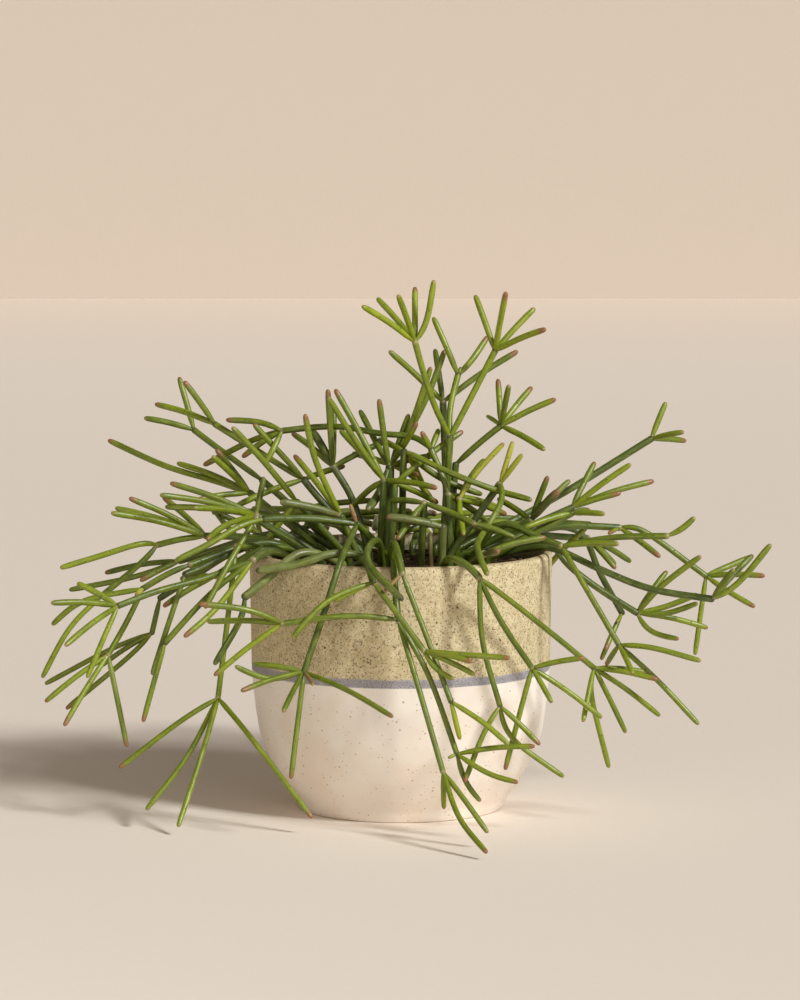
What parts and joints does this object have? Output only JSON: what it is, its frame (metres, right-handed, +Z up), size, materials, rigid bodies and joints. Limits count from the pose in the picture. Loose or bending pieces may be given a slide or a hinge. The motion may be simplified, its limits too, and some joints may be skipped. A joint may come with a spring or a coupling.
{
  "type": "potted rhipsalis neves-armondii",
  "caption": "Round ceramic pot in speckled stoneware over cream glaze, filled with soil, with a bushy hanging cactus of slim jointed cylindrical stems.",
  "frame": {"origin": "middle of the pot's flat base", "axes": "+Z up along the pot's axis, -Y towards the viewer of the picture, +X along the plant's widest spread"},
  "size_m": [0.3696, 0.3166, 0.2661],
  "materials": {
    "pot": "speckled stoneware above, a grey-blue band, satin cream glaze with brown specks below",
    "soil": "dark, lumpy and fibrous",
    "stem_pale": "young yellow-green skin with a waxy sheen",
    "stem_fresh": "fresh green skin with a waxy sheen and small dark dots",
    "stem_dark": "dark green older skin with a waxy sheen",
    "stem_grey": "oldest grey-green skin with a dull bloom"
  },
  "bodies": {
    "root": {"pot": "pot", "soil": "soil", "shoot_tall_pale": "stem_pale", "shoot_tall_dark": "stem_dark", "shoot_centre": "stem_fresh", "shoot_centre_right": "stem_fresh", "shoot_old_post": "stem_dark", "shoot_arch": "stem_fresh", "shoot_left_high": "stem_fresh", "shoot_left_high_back": "stem_dark", "shoot_left_inner": "stem_fresh", "shoot_left_front_high": "stem_fresh", "shoot_left_middle": "stem_dark", "shoot_centre_left": "stem_fresh", "shoot_left_whip": "stem_fresh", "shoot_left_fan": "stem_dark", "shoot_left_far": "stem_fresh", "shoot_long_lying": "stem_dark", "shoot_left_front_low": "stem_dark", "shoot_curtain": "stem_fresh", "shoot_thick_grey": "stem_grey", "shoot_grey_short": "stem_grey", "shoot_rim_left": "stem_fresh", "shoot_front_main": "stem_fresh", "shoot_front_second": "stem_fresh", "shoot_front_third": "stem_pale", "shoot_front_loop": "stem_dark", "shoot_right_front": "stem_fresh", "shoot_dry_stub": "stem_grey", "shoot_cut_end": "stem_dark", "shoot_right_low": "stem_fresh", "shoot_right_spread": "stem_fresh", "shoot_right_tip": "stem_dark", "shoot_right_far": "stem_fresh", "shoot_right_back_low": "stem_dark", "shoot_right_high": "stem_fresh", "shoot_right_middle": "stem_fresh", "shoot_right_inner": "stem_dark", "shoot_front_high": "stem_fresh", "shoot_old_right": "stem_dark", "shoot_leaning": "stem_dark", "shoot_crossing": "stem_fresh", "shoot_right_cluster": "stem_fresh", "shoot_right_back": "stem_dark", "shoot_short_front": "stem_dark", "shoot_grey_cut": "stem_grey", "shoot_left_hanging": "stem_fresh", "shoot_left_hanging_back": "stem_dark", "shoot_left_back": "stem_dark", "shoot_left_drop": "stem_fresh", "shoot_left_thin": "stem_dark", "back_1": "stem_fresh", "back_2": "stem_fresh", "back_3": "stem_fresh", "back_4": "stem_fresh", "back_5": "stem_fresh", "back_6": "stem_fresh", "back_7": "stem_fresh", "back_8": "stem_fresh"}
  },
  "joints": []
}
